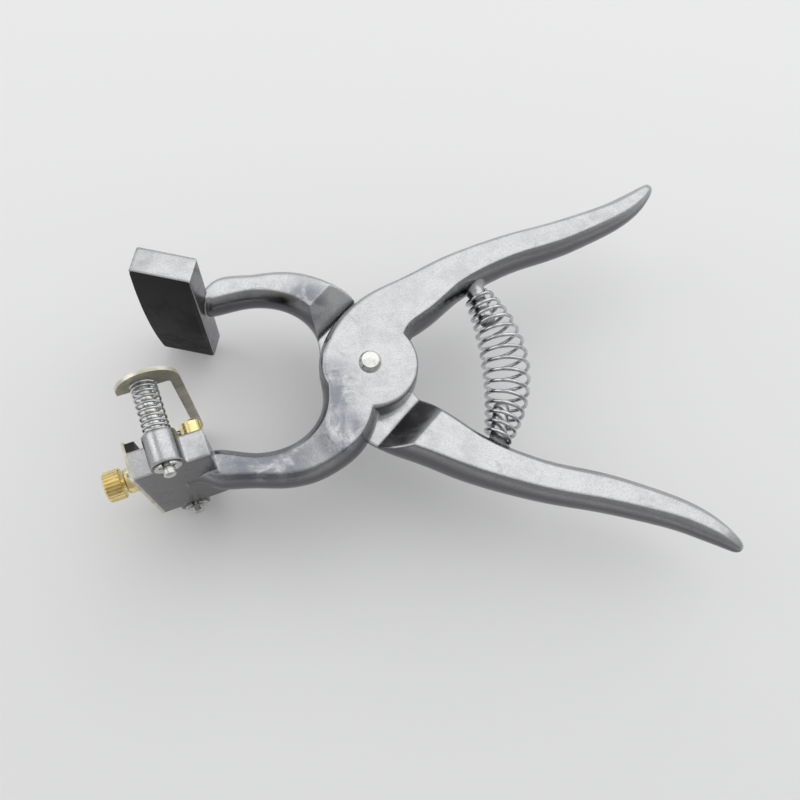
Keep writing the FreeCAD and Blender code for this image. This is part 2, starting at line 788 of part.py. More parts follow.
def front_plate():
    """The sheet screwed over the open front of the holder."""
    body = new_body("front_plate")
    sheet = new_sketch(body, "front_outline", "YZ_Plane", "-1 * head_width / 2 - front_sheet")
    half = "head_length / 2"
    rectangle(sheet, "-1 * head_depth / 2", f"-1 * {half}", "front_top", half)
    pad(body, sheet, "front_sheet_metal", "front_sheet")
    holes = new_sketch(body, "front_hole_outline", "YZ_Plane")
    circle(holes, "screw_y", "0", "bush_spigot_radius")
    for sign in ("1", "-1"):
        circle(holes, "fixing_y", f"{sign} * {FIXING_Z}", "fixing_radius")
    pocket(body, holes, "front_holes", both_ways=True)
    place_in_head(body)
    return body


def clamp_bar():
    """The dark bar that the thumb screw pushes against the dies."""
    body = new_body("clamp_bar")
    front = "-1 * head_width / 2 + bar_play"
    rear = f"{front} + bar_thickness"
    lip = new_sketch(body, "bar_lip_outline")
    rectangle(lip, front, "head_depth / 2 + bar_play", rear, "bar_top")
    pad(body, lip, "bar_lip", "head_length", both_ways=True)
    tongue = new_sketch(body, "bar_tongue_outline")
    rectangle(tongue, front, "bar_floor + bar_play", rear, "bar_top - 1")
    pad(body, tongue, "bar_tongue", f"{DIE_LENGTH} - 4 * bar_play", both_ways=True)
    socket = new_sketch(body, "bar_socket_outline", "YZ_Plane", front)
    circle(socket, "screw_y", "0", "screw_tip_radius + 0.1")
    pocket(body, socket, "bar_socket", "screw_tip_depth + bar_play", reverse=True)
    place_in_head(body)
    return body


def clamp_bush():
    """The threaded brass bush that carries the thumb screw in the front plate."""
    body = new_body("clamp_bush")
    profile = new_sketch(body, "bush_profile", up="screw_y", turn=Rotation(Vector(0, 0, 1), -90))
    inner = "-1 * head_width / 2"
    seat = f"{inner} - front_sheet"
    outer = f"{seat} - bush_length"
    bore = "screw_radius + 0.06"
    outline(profile, [
        (bore, outer),
        ("bush_radius - 0.5", outer),
        ("bush_radius", f"{outer} + 0.5"),
        ("bush_radius", seat),
        ("bush_spigot_radius", seat),
        ("bush_spigot_radius", inner),
        (bore, inner),
    ])
    revolve(body, profile, "bush_turned")
    place_in_head(body)
    return body


def thumb_screw():
    """The knurled brass thumb screw with a reduced tip in the clamp bar."""
    body = new_body("thumb_screw")
    profile = new_sketch(body, "screw_profile", up="screw_y", turn=Rotation(Vector(0, 0, 1), -90))
    face = "-1 * head_width / 2 - front_sheet - bush_length - screw_gap"
    end = f"{face} - knob_length"
    bar = "-1 * head_width / 2 + bar_play"
    outline(profile, [
        ("0", end),
        ("knob_radius - 0.7", end),
        ("knob_radius", f"{end} + 0.7"),
        ("knob_radius", f"{face} - 0.4"),
        ("knob_radius - 0.4", face),
        ("screw_radius", face),
        ("screw_radius", bar),
        ("screw_tip_radius", bar),
        ("screw_tip_radius", f"{bar} + screw_tip_depth"),
        ("0", f"{bar} + screw_tip_depth"),
    ])
    revolve(body, profile, "screw_turned")
    ridge = new_sketch(body, "knurl_outline", "YZ_Plane", end, across="screw_y")
    radius, depth = dim("knob_radius"), dim("knob_groove")
    width = 0.62 * math.pi * radius / dim("knob_ridges")
    corners = [Vector(radius + 0.2, -width, 0), Vector(radius - depth, 0, 0), Vector(radius + 0.2, width, 0)]
    for a, b in zip(corners, corners[1:] + corners[:1]):
        ridge.addGeometry(Part.LineSegment(a, b), False)
    groove = pocket(body, ridge, "knurl_groove", "knob_length", reverse=True)
    knurl = body.newObject("PartDesign::PolarPattern", "knurl")
    knurl.Originals = [groove]
    knurl.Axis = (profile, ["V_Axis"])
    knurl.Angle = 360.0
    knurl.Occurrences = int(dim("knob_ridges"))
    body.Tip = knurl
    place_in_head(body)
    return body


def front_plate_screws():
    """The two pan-head screws that hold the front plate."""
    screws = []
    for end, sign in (("near", "1"), ("far", "-1")):
        face = "-1 * head_width / 2 - front_sheet"
        shank = cylinder(
            f"fixing_shank_{end}", "fixing_radius", "fixing_length + front_sheet",
            face, "fixing_y", f"{sign} * {FIXING_Z}", Vector(1, 0, 0),
        )
        head = cone(
            f"fixing_head_{end}", "fixing_head_radius", "fixing_head_radius * 0.8",
            "fixing_head_height", face, "fixing_y", f"{sign} * {FIXING_Z}", Vector(-1, 0, 0),
        )
        slot = doc.addObject("Part::Box", f"fixing_slot_{end}")
        slot.Length, slot.Width, slot.Height = 0.5, 6, 0.7
        slot.setExpression("Placement.Base.x", terms(f"{face} - fixing_head_height - 0.05"))
        slot.setExpression("Placement.Base.y", terms("fixing_y - 3"))
        slot.setExpression("Placement.Base.z", terms(f"{sign} * {FIXING_Z} - 0.35"))
        screws.append(cut(f"fixing_{end}", fuse(f"fixing_blank_{end}", shank, head), slot))
    pair = doc.addObject("Part::Compound", "front_plate_screws")
    pair.Links = screws
    place_in_head(pair)
    return pair


def stop_stud():
    """The domed brass stud beside the slot that keeps the dies in."""
    face = "head_depth / 2"
    body = new_body("stop_stud")
    profile = new_sketch(body, "stud_profile", offset=STUD_Z, across="stud_x")
    low, high = evaluate(face), evaluate(f"{face} + stud_height")
    r, shank = dim("stud_radius"), dim("stud_shank_radius")
    foot = low - dim("stud_shank_length")
    edge, flat = high - 0.7, Vector(1.2, high, 0)
    path = [Vector(0, foot, 0), Vector(shank, foot, 0), Vector(shank, low, 0), Vector(r, low, 0), Vector(r, edge, 0)]
    for a, b in zip(path, path[1:]):
        profile.addGeometry(Part.LineSegment(a, b), False)
    profile.addGeometry(Part.Arc(path[-1], Vector(0.86 * r, high - 0.2, 0), flat), False)
    profile.addGeometry(Part.LineSegment(flat, Vector(0, high, 0)), False)
    profile.addGeometry(Part.LineSegment(Vector(0, high, 0), path[0]), False)
    revolve(body, profile, "stud_turned")
    place_in_head(body)
    return body


# ---------------------------------------------------------------- assembly and export
def main():
    nodes = {
        "die_lever": make_lever("die_lever", 1, die_holder(), HEAD_ROOT_SECTIONS, [die_slot()]),
        "pad_lever": make_lever("pad_lever", -1, pad_block(), PAD_ROOT_SECTIONS),
        "pivot_pin": pivot_pin(),
        "rubber_pad": rubber_pad(),
        "handle_spring": main_spring(),
        "release_plate": release_plate(),
        "guide_pin_near": guide_pin("near", "1"),
        "guide_pin_far": guide_pin("far", "-1"),
        "retaining_clip_near": retaining_clip("near", "1"),
        "retaining_clip_far": retaining_clip("far", "-1"),
        "release_spring_near": release_spring("near", "1"),
        "release_spring_far": release_spring("far", "-1"),
        "front_plate": front_plate(),
        "front_plate_screws": front_plate_screws(),
        "clamp_bar": clamp_bar(),
        "clamp_bush": clamp_bush(),
        "thumb_screw": thumb_screw(),
        "stop_stud": stop_stud(),
    }
    doc.recompute()
    faults = [o.Name for o in doc.Objects if {"Invalid", "Error"} & set(o.State)]
    if faults:
        raise RuntimeError(f"these objects don't recompute: {faults}")
    os.makedirs("parts", exist_ok=True)
    for label, node in nodes.items():
        node.Label = label
        shape = node.Shape
        if shape.isNull() or not shape.isValid():
            raise RuntimeError(f"{label} has no valid shape")
        shape.exportStep(f"parts/{label}.step")


main()
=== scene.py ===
"""Dresses the livestock ear marking plier and stages it on a pale table.

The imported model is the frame. Its castings, plates, pins and screws keep their CAD
meshes and get worked finishes; the three springs are wound here as round wire, and the
two release springs are carried by the die lever.
"""

import logging
import math
from dataclasses import dataclass, field
from enum import Enum
from typing import Sequence

import bpy
import numpy as np
from mathutils import Matrix, Vector


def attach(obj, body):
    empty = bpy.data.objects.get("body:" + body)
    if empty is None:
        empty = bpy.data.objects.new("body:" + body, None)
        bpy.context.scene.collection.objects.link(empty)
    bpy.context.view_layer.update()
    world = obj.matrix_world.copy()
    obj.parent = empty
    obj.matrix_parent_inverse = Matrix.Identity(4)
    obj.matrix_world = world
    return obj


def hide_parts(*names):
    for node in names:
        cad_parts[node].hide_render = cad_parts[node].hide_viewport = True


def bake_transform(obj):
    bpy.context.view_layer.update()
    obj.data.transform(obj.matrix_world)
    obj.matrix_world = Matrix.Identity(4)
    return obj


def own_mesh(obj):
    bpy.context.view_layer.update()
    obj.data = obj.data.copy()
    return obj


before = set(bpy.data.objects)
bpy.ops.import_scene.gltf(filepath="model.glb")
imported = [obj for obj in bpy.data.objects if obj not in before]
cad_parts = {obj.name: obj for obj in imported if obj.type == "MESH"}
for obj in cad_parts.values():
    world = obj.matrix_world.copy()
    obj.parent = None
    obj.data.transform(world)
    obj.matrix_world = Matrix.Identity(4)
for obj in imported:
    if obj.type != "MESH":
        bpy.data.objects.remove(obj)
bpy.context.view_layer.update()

LOG = logging.getLogger("ear_marking_plier")
MM = 0.001
TURN = 2.0 * math.pi
UPWARD = (0.0, 0.0, 1.0)
# A wire's end dome rises by this share of the wire's radius.
DOME_SHARE = 0.4
# A fading disc is whole out to this share of its reach.
DISC_CORE = 0.35
# The cosine between the true and the averaged normal where an edge starts and is whole.
EDGE_STARTS = 0.985
EDGE_FULL = 0.80
Colour = tuple[float, float, float]


class Body(str, Enum):
    """The bodies of the tool that move against each other."""

    DIE_LEVER = "die_lever_body"
    PAD_LEVER = "pad_lever_body"
    RELEASE = "release_body"
    CLAMP = "clamp_body"
    THUMB_SCREW = "thumb_screw_body"


class Slot(str, Enum):
    """The material slots that the record names."""

    CAST_ALUMINIUM = "cast_aluminium"
    BRIGHT_STEEL = "bright_steel"
    SPRING_STEEL = "spring_steel"
    KHAKI_PLATE = "khaki_plated_steel"
    BLACKENED_STEEL = "blackened_steel"
    BRASS = "brass"
    RUBBER = "black_rubber"


# ---------------------------------------------------------------- node graphs


class Graph:
    """One material's node tree, with a short method for each kind of node it uses."""

    def __init__(self, name: str) -> None:
        """Makes an empty material that holds one Principled shader.

        Args:
            name: the material's name.
        """
        self.material = bpy.data.materials.new(name)
        self.material.use_nodes = True
        self.tree = self.material.node_tree
        self.tree.nodes.clear()
        self.output = self.tree.nodes.new("ShaderNodeOutputMaterial")
        self.shader = self.tree.nodes.new("ShaderNodeBsdfPrincipled")
        self.link(self.shader.outputs["BSDF"], self.output.inputs["Surface"])
        self.place = self.tree.nodes.new("ShaderNodeTexCoord").outputs["Object"]

    def link(self, source: bpy.types.NodeSocket, target: bpy.types.NodeSocket) -> None:
        """Joins two sockets."""
        self.tree.links.new(source, target)

    def feed(self, socket: bpy.types.NodeSocket, value: object) -> None:
        """Gives a socket a constant, or links another node's output to it.

        Args:
            socket: the input to fill.
            value: a number, a colour or an output socket.
        """
        if isinstance(value, bpy.types.NodeSocket):
            self.link(value, socket)
        elif isinstance(value, tuple) and len(value) == 3 and socket.type == "RGBA":
            socket.default_value = (*value, 1.0)
        else:
            socket.default_value = value

    def stretched(
        self, scale: tuple[float, float, float], turn: float = 0.0
    ) -> bpy.types.NodeSocket:
        """Object coordinates turned about Z and then stretched.

        Args:
            scale: the factor along each axis.
            turn: the turn about Z in radians.

        Returns:
            The mapped coordinates.
        """
        node = self.tree.nodes.new("ShaderNodeMapping")
        self.link(self.place, node.inputs["Vector"])
        node.inputs["Scale"].default_value = scale
        node.inputs["Rotation"].default_value = (0.0, 0.0, turn)
        return node.outputs["Vector"]

    def noise(
        self, scale: float, detail: float = 3.0, rough: float = 0.5,
        distortion: float = 0.0, place: bpy.types.NodeSocket | None = None,
    ) -> bpy.types.NodeSocket:
        """A cloud pattern, from 0 to 1 and about 0.5 on average.

        Args:
            scale: clouds in a metre.
            detail: how many finer layers are added.
            rough: the weight of each finer layer.
            distortion: how far the clouds are stirred.
            place: the coordinates read, or None for Object coordinates.

        Returns:
            The pattern's value.
        """
        node = self.tree.nodes.new("ShaderNodeTexNoise")
        self.link(place or self.place, node.inputs["Vector"])
        node.inputs["Scale"].default_value = scale
        node.inputs["Detail"].default_value = detail
        node.inputs["Roughness"].default_value = rough
        node.inputs["Distortion"].default_value = distortion
        return node.outputs["Fac"]

    def cells(self, scale: float) -> bpy.types.NodeSocket:
        """The distance to the nearest of many scattered points.

        Args:
            scale: points in a metre.

        Returns:
            The distance, 0 at a point.
        """
        node = self.tree.nodes.new("ShaderNodeTexVoronoi")
        self.link(self.place, node.inputs["Vector"])
        node.inputs["Scale"].default_value = scale
        return node.outputs["Distance"]

    def span(
        self, value: bpy.types.NodeSocket, low: float, high: float,
        start: float = 0.0, end: float = 1.0,
    ) -> bpy.types.NodeSocket:
        """Carries a value from low..high to start..end, smoothly and held at both ends.

        Args:
            value: the value to carry.
            low: the value that becomes start.
            high: the value that becomes end.
            start: the first result.
            end: the last result.

        Returns:
            The carried value.
        """
        node = self.tree.nodes.new("ShaderNodeMapRange")
        node.interpolation_type = "SMOOTHSTEP"
        self.link(value, node.inputs["Value"])
        ends = {"From Min": low, "From Max": high, "To Min": start, "To Max": end}
        for name, number in ends.items():
            node.inputs[name].default_value = number
        return node.outputs["Result"]

    def sum(self, first: object, second: object, kind: str = "ADD") -> bpy.types.NodeSocket:
        """Works two values together.

        Args:
            first: a number or a socket.
            second: a number or a socket.
            kind: the Math node's operation.

        Returns:
            The result.
        """
        node = self.tree.nodes.new("ShaderNodeMath")
        node.operation = kind
        self.feed(node.inputs[0], first)
        self.feed(node.inputs[1], second)
        return node.outputs["Value"]

    def blend(self, share: object, first: object, second: object) -> bpy.types.NodeSocket:
        """Mixes two colours.

        Args:
            share: 0 for the first colour and 1 for the second.
            first: a colour or a socket.
            second: a colour or a socket.

        Returns:
            The mixed colour.
        """
        node = self.tree.nodes.new("ShaderNodeMix")
        node.data_type = "RGBA"
        self.feed(node.inputs["Factor"], share)
        self.feed(node.inputs["A"], first)
        self.feed(node.inputs["B"], second)
        return node.outputs["Result"]

    def disc(self, middle: tuple[float, float], reach: float) -> bpy.types.NodeSocket:
        """A disc seen from above that fades from 1 at its middle to 0 at its rim.

        Args:
            middle: the disc's x and y in metres.
            reach: its radius in metres.

        Returns:
            The fading disc.
        """
        apart = self.tree.nodes.new("ShaderNodeVectorMath")
        apart.operation = "MULTIPLY_ADD"
        self.link(self.place, apart.inputs[0])
        apart.inputs[1].default_value = (1.0, 1.0, 0.0)
        apart.inputs[2].default_value = (-middle[0], -middle[1], 0.0)
        length = self.tree.nodes.new("ShaderNodeVectorMath")
        length.operation = "LENGTH"
        self.link(apart.outputs["Vector"], length.inputs[0])
        return self.span(length.outputs["Value"], reach, reach * DISC_CORE)

    def facing_up(self) -> bpy.types.NodeSocket:
        """How far the surface faces straight up or down, 0 on a wall and 1 on a flat."""
        parts = self.tree.nodes.new("ShaderNodeSeparateXYZ")
        normal = self.tree.nodes.new("ShaderNodeNewGeometry").outputs["Normal"]
        self.link(normal, parts.inputs[0])
        return self.sum(parts.outputs["Z"], 0.0, "ABSOLUTE")

    def softened(self, radius: float) -> bpy.types.NodeSocket:
        """The surface's normal averaged over a small radius, which softens its edges.

        Args:
            radius: how far the averaging reaches, in metres.

        Returns:
            The averaged normal.
        """
        bevel = self.tree.nodes.new("ShaderNodeBevel")
        bevel.samples = 6
        bevel.inputs["Radius"].default_value = radius
        return bevel.outputs["Normal"]

    def edges(self, radius: float) -> bpy.types.NodeSocket:
        """How near a point is to an outside or inside edge, from 0 to 1.

        The true normal is set against one that is averaged over the radius; where the
        two part, an edge is near.

        Args:
            radius: how far the averaging reaches, in metres.

        Returns:
            The edge mask.
        """
        normal = self.tree.nodes.new("ShaderNodeNewGeometry").outputs["Normal"]
        dot = self.tree.nodes.new("ShaderNodeVectorMath")
        dot.operation = "DOT_PRODUCT"
        self.link(self.softened(radius), dot.inputs[0])
        self.link(normal, dot.inputs[1])
        return self.span(dot.outputs["Value"], EDGE_STARTS, EDGE_FULL)

    def bump(
        self, height: bpy.types.NodeSocket, distance: float, strength: float = 1.0,
        under: bpy.types.NodeSocket | None = None,
    ) -> bpy.types.NodeSocket:
        """Raises a surface by a pattern.

        Args:
            height: the pattern, 0 to 1.
            distance: the height that 1 stands for, in metres.
            strength: the share of it that shows.
            under: another bump that lies under this one.

        Returns:
            The bumped normal.
        """
        node = self.tree.nodes.new("ShaderNodeBump")
        node.inputs["Distance"].default_value = distance
        node.inputs["Strength"].default_value = strength
        self.link(height, node.inputs["Height"])
        if under is not None:
            self.link(under, node.inputs["Normal"])
        return node.outputs["Normal"]

    def finish(self, **sockets: object) -> bpy.types.Material:
        """Fills the shader's sockets and hands the material over.

        Args:
            **sockets: the shader's inputs by name, with _ for a space.

        Returns:
            The finished material.
        """
        for name, value in sockets.items():
            self.feed(self.shader.inputs[name.replace("_", " ")], value)
        return self.material


# ------------------------------------------------------------------- finishes


@dataclass(frozen=True)
class CastAluminium:
    """Die-cast aluminium with linished flats, flanks darkened as painted shade, and edges
    lightened by rubbed wear and a painted highlight.

    The flats are told from the flanks by how far the surface faces up or down. Oxide
    gathers in clouds all over; listed discs, given by their middle and reach, darken it
    further, partly as oxide patches and partly as painted shade.
    """

    name: str = "cast_aluminium"
    linished: Colour = (0.56, 0.562, 0.565)
    clouded: Colour = (0.49, 0.495, 0.505)
    # Painted shade: the colour of every surface that faces sideways.
    flank_shade: Colour = (0.13, 0.13, 0.138)
    # Dark tone for oxide clouds and patches, also used for the painted shade of the listed discs.
    oxide_and_shade_colour: Colour = (0.17, 0.18, 0.21)
    # Edge colour: rubbed wear, lightened further as a painted highlight.
    wear_and_highlight: Colour = (0.88, 0.88, 0.88)
    # Dark discs as x, y and reach in mm: partly oxide patches, partly painted shade.
    oxide_and_shade_discs: Sequence[tuple[float, float, float]] = (
        (-33.0, -10.0, 16.0), (-58.0, -36.0, 24.0), (-41.0, 26.0, 13.0), (-30.0, -27.0, 14.0),
    )

    def oxide_and_shade_mask(self, g: Graph) -> bpy.types.NodeSocket:
        """How dark the listed discs make a point, partly oxide patches and partly painted shade:
        the largest of their fading discs, 0 to 1.

        Args:
            g: the graph that the nodes go into.

        Returns:
            The mask of oxide patches and painted shade.
        """
        mask = None
        for x, y, reach in self.oxide_and_shade_discs:
            disc = g.disc((x * MM, y * MM), reach * MM)
            mask = disc if mask is None else g.sum(mask, disc, "MAXIMUM")
        return mask

    def make(self) -> bpy.types.Material:
        """Builds the material."""
        g = Graph(self.name)
        flat = g.span(g.facing_up(), 0.30, 0.88)
        clouds = g.span(g.noise(120.0, 6.0, 0.66, 0.4), 0.36, 0.68)
        grain = g.noise(1700.0, 2.0, 0.6)
        patches = g.span(g.noise(90.0, 8.0, 0.74, 0.9), 0.56, 0.70, 0.0, 0.30)
        ragged = g.span(g.noise(95.0, 7.0, 0.72, 0.6), 0.30, 0.56)
        oxide_and_shade_share = g.sum(self.oxide_and_shade_mask(g), ragged, "MULTIPLY")
        drag = g.noise(420.0, 3.0, 0.55, 0.0, g.stretched((0.10, 1.0, 1.0), 0.55))
        edge = g.edges(0.9 * MM)
        skin = g.blend(clouds, self.linished, self.clouded)
        worst = g.sum(patches, g.sum(oxide_and_shade_share, 0.85, "MULTIPLY"), "MAXIMUM")
        # Oxide patches and the listed discs, which are partly painted shade, darken the skin.
        skin = g.blend(worst, skin, self.oxide_and_shade_colour)
        skin = g.blend(g.span(grain, 0.40, 0.72, 0.0, 0.25), skin, self.oxide_and_shade_colour)
        # Painted shade: surfaces that face sideways take the dark flank colour.
        skin = g.blend(flat, self.flank_shade, skin)
        # Painted highlight along the edges, over rubbed wear.
        skin = g.blend(g.sum(edge, 0.55, "MULTIPLY"), skin, self.wear_and_highlight)
        scratched = g.span(drag, 0.3, 0.7, -0.03, 0.04)
        rough = g.sum(g.span(clouds, 0.0, 1.0, 0.19, 0.26), scratched)
        rough = g.sum(rough, g.sum(edge, 0.06, "MULTIPLY"), "SUBTRACT")
        waves = g.bump(g.noise(150.0, 2.0, 0.5), 0.08 * MM, 0.3, g.softened(1.5 * MM))
        fine = g.bump(g.sum(grain, drag), 0.016 * MM, 0.4, waves)
        return g.finish(Base_Color=skin, Metallic=1.0, Roughness=rough, Normal=fine)


@dataclass(frozen=True)
class TurnedSteel:
    """Bright turned or drawn steel with a faint grain."""

    name: str
    pale: Colour
    dull: Colour
    smooth: float
    worn: float

    def make(self) -> bpy.types.Material:
        """Builds the material."""
        g = Graph(self.name)
        film = g.span(g.noise(320.0, 3.0, 0.6, 0.4), 0.38, 0.70)
        grain = g.noise(4200.0, 2.0, 0.5)
        skin = g.blend(film, self.pale, self.dull)
        rough = g.span(film, 0.0, 1.0, self.smooth, self.worn)
        fine = g.bump(grain, 0.010 * MM, 0.5)
        return g.finish(Base_Color=skin, Metallic=1.0, Roughness=rough, Normal=fine)


@dataclass(frozen=True)
class PlatedSheet:
    """Stamped sheet with a khaki plating, lightened along its edges as a painted highlight."""

    name: str = "khaki_plated_steel"
    plating: Colour = (0.74, 0.71, 0.59)
    shade: Colour = (0.54, 0.52, 0.42)
    # Painted highlight: the colour laid along the sheet's edges.
    edge_highlight: Colour = (0.82, 0.80, 0.72)

    def make(self) -> bpy.types.Material:
        """Builds the material."""
        g = Graph(self.name)
        clouds = g.span(g.noise(140.0, 4.0, 0.6, 0.5), 0.36, 0.68)
        rolled = g.noise(900.0, 2.0, 0.5, 0.0, g.stretched((0.08, 1.0, 1.0), 1.29))
        edge = g.edges(0.35 * MM)
        skin = g.blend(clouds, self.plating, self.shade)
        # Painted highlight along the edges, where light would catch the rim.
        skin = g.blend(g.sum(edge, 0.8, "MULTIPLY"), skin, self.edge_highlight)
        streaks = g.span(rolled, 0.3, 0.7, -0.05, 0.05)
        rough = g.sum(g.span(clouds, 0.0, 1.0, 0.36, 0.52), streaks)
        fine = g.bump(rolled, 0.012 * MM, 0.6)
        return g.finish(Base_Color=skin, Metallic=0.85, Roughness=rough, Normal=fine)


@dataclass(frozen=True)
class BlackenedSteel:
    """Chemically blackened bar stock with a little oil sheen."""

    name: str = "blackened_steel"
    black: Colour = (0.018, 0.018, 0.020)
    brown: Colour = (0.050, 0.045, 0.040)
    worn: Colour = (0.25, 0.25, 0.25)

    def make(self) -> bpy.types.Material:
        """Builds the material."""
        g = Graph(self.name)
        clouds = g.span(g.noise(220.0, 4.0, 0.6), 0.38, 0.70)
        grain = g.noise(2600.0, 2.0, 0.5)
        edge = g.edges(0.25 * MM)
        skin = g.blend(clouds, self.black, self.brown)
        skin = g.blend(g.sum(edge, 0.5, "MULTIPLY"), skin, self.worn)
        rough = g.span(clouds, 0.0, 1.0, 0.34, 0.50)
        fine = g.bump(grain, 0.012 * MM, 0.6)
        return g.finish(Base_Color=skin, Metallic=0.6, Roughness=rough, Normal=fine)


@dataclass(frozen=True)
class Brass:
    """Turned brass, warm and slightly tarnished in the hollows."""

    name: str = "brass"
    bright: Colour = (0.94, 0.78, 0.38)
    tarnish: Colour = (0.70, 0.52, 0.20)
    wear_and_highlight: Colour = (0.97, 0.88, 0.58)

    def make(self) -> bpy.types.Material:
        """Builds the material."""
        g = Graph(self.name)
        film = g.span(g.noise(420.0, 4.0, 0.6, 0.6), 0.42, 0.72, 0.0, 0.75)
        grain = g.noise(3600.0, 2.0, 0.5)
        edge = g.edges(0.22 * MM)
        skin = g.blend(film, self.bright, self.tarnish)
        skin = g.blend(g.sum(edge, 0.6, "MULTIPLY"), skin, self.wear_and_highlight)
        rough = g.span(film, 0.0, 0.75, 0.20, 0.38)
        fine = g.bump(grain, 0.010 * MM, 0.5)
        return g.finish(Base_Color=skin, Metallic=1.0, Roughness=rough, Normal=fine)


@dataclass(frozen=True)
class MouldedRubber:
    """Dense black rubber, matt, with a moulding bloom."""

    name: str = "black_rubber"
    black: Colour = (0.006, 0.006, 0.0065)
    bloom: Colour = (0.014, 0.014, 0.0145)

    def make(self) -> bpy.types.Material:
        """Builds the material."""
        g = Graph(self.name)
        clouds = g.span(g.noise(75.0, 5.0, 0.65, 0.5), 0.40, 0.72)
        pores = g.cells(1700.0)
        skin = g.blend(clouds, self.black, self.bloom)
        rough = g.span(clouds, 0.0, 1.0, 0.58, 0.78)
        soft = g.bump(g.noise(240.0, 3.0, 0.5), 0.06 * MM, 0.5)
        fine = g.bump(pores, 0.020 * MM, 0.6, soft)
        return g.finish(
            Base_Color=skin, Metallic=0.0, Roughness=rough, Normal=fine, Specular_IOR_Level=0.28
        )


class Workshop:
    """Keeps one finish of each kind and puts it on pieces."""

    def __init__(self) -> None:
        """Makes every finish once."""
        self.finishes = {
            Slot.CAST_ALUMINIUM: CastAluminium().make(),
            Slot.BRIGHT_STEEL: TurnedSteel(
                "bright_steel", (0.70, 0.70, 0.67), (0.54, 0.54, 0.52), 0.24, 0.36
            ).make(),
            Slot.SPRING_STEEL: TurnedSteel(
                "spring_steel", (0.66, 0.67, 0.68), (0.42, 0.43, 0.45), 0.12, 0.24
            ).make(),
            Slot.KHAKI_PLATE: PlatedSheet().make(),
            Slot.BLACKENED_STEEL: BlackenedSteel().make(),
            Slot.BRASS: Brass().make(),
            Slot.RUBBER: MouldedRubber().make(),
        }

    def dress(self, piece: bpy.types.Object, slot: Slot) -> None:
        """Gives a piece one finish all over and names its slot.

        Args:
            piece: a mesh object.
            slot: the record's slot for it.
        """
        piece.data.materials.clear()
        piece.data.materials.append(self.finishes[slot])

    def dress_nodes(self, slot: Slot, *names: str) -> None:
        """Dresses CAD nodes where they stand.

        Args:
            slot: the record's slot for them.
            *names: the nodes' names.
        """
        for name in names:
            self.dress(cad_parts[name], slot)
            LOG.info("%s gets the finish %s", name, slot.value)


# ------------------------------------------------------------------- wirework


def unit(rows: np.ndarray) -> np.ndarray:
    """Each row divided by its own length."""
    return rows / np.linalg.norm(rows, axis=1, keepdims=True)


def wire_mesh(
    name: str, path: np.ndarray, outward: np.ndarray, radius: float, sides: int
) -> bpy.types.Object:
    """A round wire along a path, closed by a low dome at each end.

    At each point the wire's ring is centre + radius * (cos(a) * across + sin(a) * up),
    where across is the outward direction with its part along the path taken off, up is
    square to both, and a runs once round.

    Args:
        name: the object's name.
        path: points along the wire, n x 3, in metres.
        outward: a direction at each point that is never along the path, n x 3.
        radius: the wire's radius in metres.
        sides: how many points a ring has.

    Returns:
        The wire as an object at the origin.
    """
    count = len(path)
    along = unit(np.gradient(path, axis=0))
    across = unit(outward - along * np.sum(outward * along, axis=1, keepdims=True))
    up = np.cross(along, across)
    angle = np.linspace(0.0, TURN, sides, endpoint=False)
    level, rise = np.cos(angle)[None, :, None], np.sin(angle)[None, :, None]
    ring = across[:, None] * level + up[:, None] * rise
    points = (path[:, None] + radius * ring).reshape(-1, 3)
    dome = radius * DOME_SHARE
    tips = np.stack([path[0] - along[0] * dome, path[-1] + along[-1] * dome])
    row, column = np.meshgrid(np.arange(count - 1), np.arange(sides), indexing="ij")
    beside = (column + 1) % sides
    here, ahead = row * sides, (row + 1) * sides
    corners = [here + column, here + beside, ahead + beside, ahead + column]
    quads = np.stack(corners, axis=-1).reshape(-1, 4)
    side = np.arange(sides)
    after = (side + 1) % sides
    last = (count - 1) * sides
    first_cap = np.stack([np.full(sides, count * sides), after, side], axis=-1)
    last_cap = np.stack([np.full(sides, count * sides + 1), last + side, last + after], axis=-1)
    mesh = bpy.data.meshes.new(name)
    faces = quads.tolist() + first_cap.tolist() + last_cap.tolist()
    mesh.from_pydata(np.vstack([points, tips]).tolist(), [], faces)
    mesh.polygons.foreach_set("use_smooth", np.ones(len(mesh.polygons), bool))
    mesh.update()
    piece = bpy.data.objects.new(name, mesh)
    bpy.context.scene.collection.objects.link(piece)
    return piece


def closed_ends(share: np.ndarray, closing: float) -> np.ndarray:
    """Eases a wire's advance, so that its end turns lie closer together.

    The advance is share - closing * sin(2 pi share) / (2 pi), whose slope falls to
    1 - closing at both ends.

    Args:
        share: how far along the wire each point is, 0 to 1.
        closing: how much the end turns are closed, 0 to 1.

    Returns:
        How far along the spring's axis each point is, 0 to 1.
    """
    return share - closing * np.sin(TURN * share) / TURN


@dataclass(frozen=True)
class HeadPlace:
    """The die holder's own axes: across it, out towards the pad, and up."""

    origin: Vector = field(default_factory=lambda: Vector((-87.52, -35.30, 36.40)) * MM)
    across: Vector = field(default_factory=lambda: Vector((0.961262, 0.275637, 0.0)))
    out: Vector = field(default_factory=lambda: Vector((-0.275637, 0.961262, 0.0)))

    def point(self, across: float, out: float, up: float) -> Vector:
        """A point of the holder, in millimetres from its middle."""
        return self.origin + (self.across * across + self.out * out + Vector(UPWARD) * up) * MM


